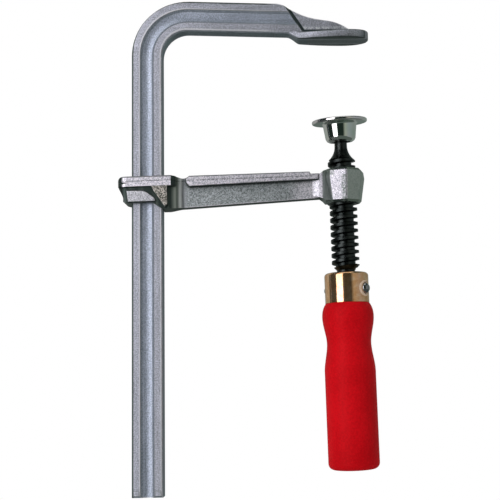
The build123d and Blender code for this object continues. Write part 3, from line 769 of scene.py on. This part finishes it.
def redLacquer():
    # lacquered hardwood, its grain just felt through the paint
    material, tree, shader = newMaterial("redLacquer")
    shader.inputs["Specular IOR Level"].default_value = handleLook["gloss"]
    clouds = noise(tree, objectPoint(tree), handleLook["clouds"])
    specks = noise(tree, objectPoint(tree), handleLook["specks"])
    mottle = mixColor(tree, handleLook["speckShare"], clouds, specks)
    tree.links.new(ramp(tree, mottle, handleLook["colors"]), shader.inputs["Base Color"])
    grain = noise(tree, stretched(tree, handleLook["grainStretch"]), handleLook["grain"])
    roughen(tree, shader, grain, handleLook["roughness"])
    bump(tree, shader, grain, handleLook["relief"])
    return material


# Each piece's finish

finishes = {
    "rail": satinZinc(),
    "sliding_arm": forgedSkin(),
    "spindle": blackOxide(),
    "snap_ring": springSteel(),
    "pressure_plate": brightZinc(),
    "ferrule": yellowChromate(),
    "handle": redLacquer(),
    "cross_pin": polishedSteel(),
}
print("finishes made:", len(finishes))


# The frame's pieces: joined triangles, smooth faces with crisp edges, and small edge rounds

shaping = {
    "mergeDistance": 0.000002,
    "smoothLimit": 28,  # degrees between faces that still shade smooth
    "roundLimit": 32,  # degrees from which an edge is rounded
    "roundSegments": 2,
    "edgeRound": {"rail": 0.0003, "sliding_arm": 0.0005},
    "flatWeight": 80,
}


def smoothTree():
    # merges the loose triangles, then shades smooth up to an angle
    tree = bpy.data.node_groups.new("joinAndSmooth", "GeometryNodeTree")
    for way in ("INPUT", "OUTPUT"):
        tree.interface.new_socket("Geometry", in_out=way, socket_type="NodeSocketGeometry")
    start = tree.nodes.new("NodeGroupInput")
    end = tree.nodes.new("NodeGroupOutput")
    flatNormals = tree.nodes.new("GeometryNodeRemoveAttribute")
    flatNormals.inputs["Name"].default_value = "custom_normal"
    merge = tree.nodes.new("GeometryNodeMergeByDistance")
    merge.inputs["Distance"].default_value = shaping["mergeDistance"]
    smooth = tree.nodes.new("GeometryNodeSetShadeSmooth")
    smooth.domain = "FACE"
    crisp = tree.nodes.new("GeometryNodeSetShadeSmooth")
    crisp.domain = "EDGE"
    crisp.inputs["Shade Smooth"].default_value = False
    angle = tree.nodes.new("GeometryNodeInputMeshEdgeAngle")
    over = tree.nodes.new("FunctionNodeCompare")
    over.data_type = "FLOAT"
    over.operation = "GREATER_THAN"
    over.inputs["B"].default_value = math.radians(shaping["smoothLimit"])
    tree.links.new(angle.outputs["Unsigned Angle"], over.inputs["A"])
    tree.links.new(over.outputs["Result"], crisp.inputs["Selection"])
    tree.links.new(start.outputs[0], flatNormals.inputs["Geometry"])
    tree.links.new(flatNormals.outputs["Geometry"], merge.inputs["Geometry"])
    tree.links.new(merge.outputs["Geometry"], smooth.inputs["Geometry"])
    tree.links.new(smooth.outputs["Geometry"], crisp.inputs["Geometry"])
    tree.links.new(crisp.outputs["Geometry"], end.inputs[0])
    return tree


def roundEdges(piece, width):
    weld = piece.modifiers.new("join", "WELD")
    weld.merge_threshold = shaping["mergeDistance"]
    rounding = piece.modifiers.new("edges", "BEVEL")
    rounding.width = width
    rounding.segments = shaping["roundSegments"]
    rounding.limit_method = "ANGLE"
    rounding.angle_limit = math.radians(shaping["roundLimit"])
    rounding.harden_normals = False


def dress(name, material, tree):
    piece = cadNodes[name]
    piece.data.materials.clear()
    piece.data.materials.append(material)
    rounded = name in shaping["edgeRound"]
    if rounded:
        roundEdges(piece, shaping["edgeRound"][name])
    shading = piece.modifiers.new("smooth", "NODES")
    shading.node_group = tree
    if rounded:
        # keeps the flat faces flat beside their rounded edges
        flats = piece.modifiers.new("flats", "WEIGHTED_NORMAL")
        flats.weight = shaping["flatWeight"]
        flats.keep_sharp = True


smoothing = smoothTree()
for nodeName, finish in finishes.items():
    dress(nodeName, finish, smoothing)
print("pieces dressed")


# Floor and world

studio = {
    "floorColor": (0.86, 0.86, 0.86),
    "floorRoughness": 0.9,
    "floorSize": 12,
    "floorWhite": (0.92, 1.0),  # share of plain white near the clamp and far out
    "floorFade": (0.12, 0.45),  # from the floor's middle
    "roomUnder": 0.162,  # a little more than arm and spindle travel down
    "worldColor": (0.34, 0.34, 0.34),
}


def brightRays(tree):
    # 1 for camera, mirror and glass rays
    path = tree.nodes.new("ShaderNodeLightPath")
    rays = either(tree, path.outputs["Is Camera Ray"], path.outputs["Is Glossy Ray"])
    return either(tree, rays, path.outputs["Is Transmission Ray"])


def floorWhite(tree):
    # share of plain white, growing with the distance from the clamp
    far = tree.nodes.new("ShaderNodeVectorMath")
    far.operation = "LENGTH"
    tree.links.new(objectPoint(tree), far.inputs[0])
    fade = tree.nodes.new("ShaderNodeMapRange")
    fade.interpolation_type = "SMOOTHSTEP"
    fade.inputs["From Min"].default_value, fade.inputs["From Max"].default_value = studio["floorFade"]
    fade.inputs["To Min"].default_value, fade.inputs["To Max"].default_value = studio["floorWhite"]
    tree.links.new(far.outputs["Value"], fade.inputs["Value"])
    return fade.outputs["Result"]


def makeFloor():
    # pale floor under the lowest pose, which keeps the clamp's shadow and runs out to plain white
    low = cadBox[0][2] - studio["roomUnder"]
    bpy.ops.mesh.primitive_plane_add(size=studio["floorSize"], location=(0, 0, low))
    floor = bpy.context.object
    floor.name = "floor"
    material, tree, shader = newMaterial("paleFloor")
    shader.inputs["Base Color"].default_value = (*studio["floorColor"], 1)
    shader.inputs["Roughness"].default_value = studio["floorRoughness"]
    glow = tree.nodes.new("ShaderNodeEmission")
    mix = tree.nodes.new("ShaderNodeMixShader")
    tree.links.new(allOf(tree, brightRays(tree), floorWhite(tree)), mix.inputs["Fac"])
    tree.links.new(shader.outputs["BSDF"], mix.inputs[1])
    tree.links.new(glow.outputs["Emission"], mix.inputs[2])
    tree.links.new(mix.outputs["Shader"], tree.nodes["Material Output"].inputs["Surface"])
    floor.data.materials.append(material)
    floor.visible_glossy = False


def makeWorld():
    # gray light, but plain white to look at
    world = bpy.data.worlds.new("studio")
    scene.world = world
    world.use_nodes = True
    tree = world.node_tree
    plain = tree.nodes["Background"]
    plain.inputs["Color"].default_value = (*studio["worldColor"], 1)
    white = tree.nodes.new("ShaderNodeBackground")
    white.inputs["Color"].default_value = (1, 1, 1, 1)
    mix = tree.nodes.new("ShaderNodeMixShader")
    tree.links.new(brightRays(tree), mix.inputs["Fac"])
    tree.links.new(plain.outputs["Background"], mix.inputs[1])
    tree.links.new(white.outputs["Background"], mix.inputs[2])
    tree.links.new(mix.outputs["Shader"], tree.nodes["World Output"].inputs["Surface"])


# Tent of gray cloth round the clamp, seen only in its metal

tentLook = {
    "middle": (-0.03, 0, 0),
    "radius": 1.25,
    "height": 2.4,
    "wallSides": 96,
    "coverSides": 64,
    "roofHeight": 1.1,
    "roofColor": (0.06, 0.08, 0.07),
    "groundHeight": -0.62,
    "groundColor": (0.10, 0.12, 0.11),
    # colors round the wall: 0 and 1 behind, 0.25 left, 0.5 in front, 0.75 right
    "wallStops": [
        (0.00, (0.10, 0.13, 0.115)),
        (0.06, (0.30, 0.33, 0.31)),
        (0.19, (0.36, 0.38, 0.36)),
        (0.22, (0.015, 0.024, 0.020)),
        (0.335, (0.015, 0.024, 0.020)),
        (0.35, (0.30, 0.32, 0.31)),
        (0.43, (0.30, 0.32, 0.31)),
        (0.45, (0.015, 0.024, 0.020)),
        (0.56, (0.015, 0.024, 0.020)),
        (0.60, (0.36, 0.37, 0.32)),
        (0.68, (0.30, 0.32, 0.34)),
        (0.80, (0.22, 0.26, 0.24)),
        (0.93, (0.24, 0.28, 0.26)),
        (1.00, (0.10, 0.13, 0.115)),
    ],
}


def glowingCloth(name):
    material, tree, shader = newMaterial(name)
    tree.nodes.remove(shader)
    glow = tree.nodes.new("ShaderNodeEmission")
    tree.links.new(glow.outputs["Emission"], tree.nodes["Material Output"].inputs["Surface"])
    return material, tree, glow


def hang(piece, name, material):
    # lights nothing and hides nothing, but shows in mirror surfaces
    piece.name = name
    piece.data.materials.append(material)
    piece.visible_camera = False
    piece.visible_diffuse = False
    piece.visible_shadow = False


def makeCover(name, height, color):
    # round cloth over or under the clamp
    bpy.ops.mesh.primitive_circle_add(
        vertices=tentLook["coverSides"],
        radius=tentLook["radius"],
        fill_type="NGON",
        location=(*tentLook["middle"][:2], height),
    )
    material, tree, glow = glowingCloth(name)
    glow.inputs["Color"].default_value = (*color, 1)
    hang(bpy.context.object, name, material)


def makeWall():
    # cloth all round, its color changing with the direction it hangs in
    bpy.ops.mesh.primitive_cylinder_add(
        vertices=tentLook["wallSides"],
        radius=tentLook["radius"],
        depth=tentLook["height"],
        end_fill_type="NOTHING",
        location=tentLook["middle"],
    )
    material, tree, glow = glowingCloth("tentCloth")
    place = axes(tree)
    towardsFront = join(tree, "MULTIPLY", place["Y"], -1.0)
    angle = join(tree, "ARCTAN2", place["X"], towardsFront)
    around = step(tree, angle, (-math.pi, math.pi))
    tree.links.new(ramp(tree, around, tentLook["wallStops"]), glow.inputs["Color"])
    hang(bpy.context.object, "tent", material)


# Lamps

lampTarget = (-0.04, 0, -0.12)

keyLamp = {
    "place": (-0.58, -0.69, 0.0),
    "size": (0.56, 1.2),
    "energy": 5.0,
    "color": (0.98, 0.94, 1.0),
    "mirrored": True,  # shows as a bright patch in the metal
}

topLamp = {
    "place": (-0.05, -0.1, 0.9),
    "size": (0.8, 0.8),
    "energy": 1.5,
    "color": (1, 1, 1),
    "mirrored": True,
}

backLamp = {
    "place": (0.5, 0.85, 0.1),
    "size": (0.5, 1.0),
    "energy": 2.0,
    "color": (1, 1, 1),
    "mirrored": False,
}


def makeLamp(name, look):
    lamp = bpy.data.lights.new(name, "AREA")
    lamp.shape = "RECTANGLE"
    lamp.size, lamp.size_y = look["size"]
    lamp.energy = look["energy"]
    lamp.color = look["color"]
    holder = bpy.data.objects.new(name, lamp)
    holder.location = look["place"]
    aim = Vector(lampTarget) - Vector(look["place"])
    holder.rotation_euler = aim.to_track_quat("-Z", "Y").to_euler()
    holder.visible_glossy = look["mirrored"]
    scene.collection.objects.link(holder)


makeFloor()
makeWorld()
makeWall()
makeCover("tentRoof", tentLook["roofHeight"], tentLook["roofColor"])
makeCover("tentGround", tentLook["groundHeight"], tentLook["groundColor"])
makeLamp("key", keyLamp)
makeLamp("top", topLamp)
makeLamp("back", backLamp)
print("studio set")


# Camera at the photograph's place

view = {
    "place": (-0.02644, -0.54070, -0.18810),
    "yaw": -0.8688,  # degrees
    "pitch": 5.1111,
    "roll": 0.9340,
    "focalPixels": 970.31,
    "center": (310, 285),  # the lens's middle, in pixels from the frame's top left
    "frameSize": 500,
    "sensor": 36,
    "clipStart": 0.01,
}


def makeCamera():
    frameSize = view["frameSize"]
    centerX, centerY = view["center"]
    lens = bpy.data.cameras.new("camera")
    lens.sensor_width = view["sensor"]
    lens.lens = view["focalPixels"] / frameSize * view["sensor"]
    lens.shift_x = (frameSize / 2 - centerX) / frameSize
    lens.shift_y = (centerY - frameSize / 2) / frameSize
    lens.clip_start = view["clipStart"]
    holder = bpy.data.objects.new("camera", lens)
    yaw = Matrix.Rotation(math.radians(view["yaw"]), 3, "Z")
    pitch = Matrix.Rotation(math.radians(view["pitch"]), 3, "X")
    roll = Matrix.Rotation(math.radians(view["roll"]), 3, "Y")
    right, forward, up = (yaw @ pitch @ roll).col
    turn = Matrix((right, up, -forward)).transposed()
    holder.matrix_world = Matrix.Translation(view["place"]) @ turn.to_4x4()
    scene.collection.objects.link(holder)
    scene.camera = holder


makeCamera()
scene.view_settings.view_transform = "Standard"
print("camera set")
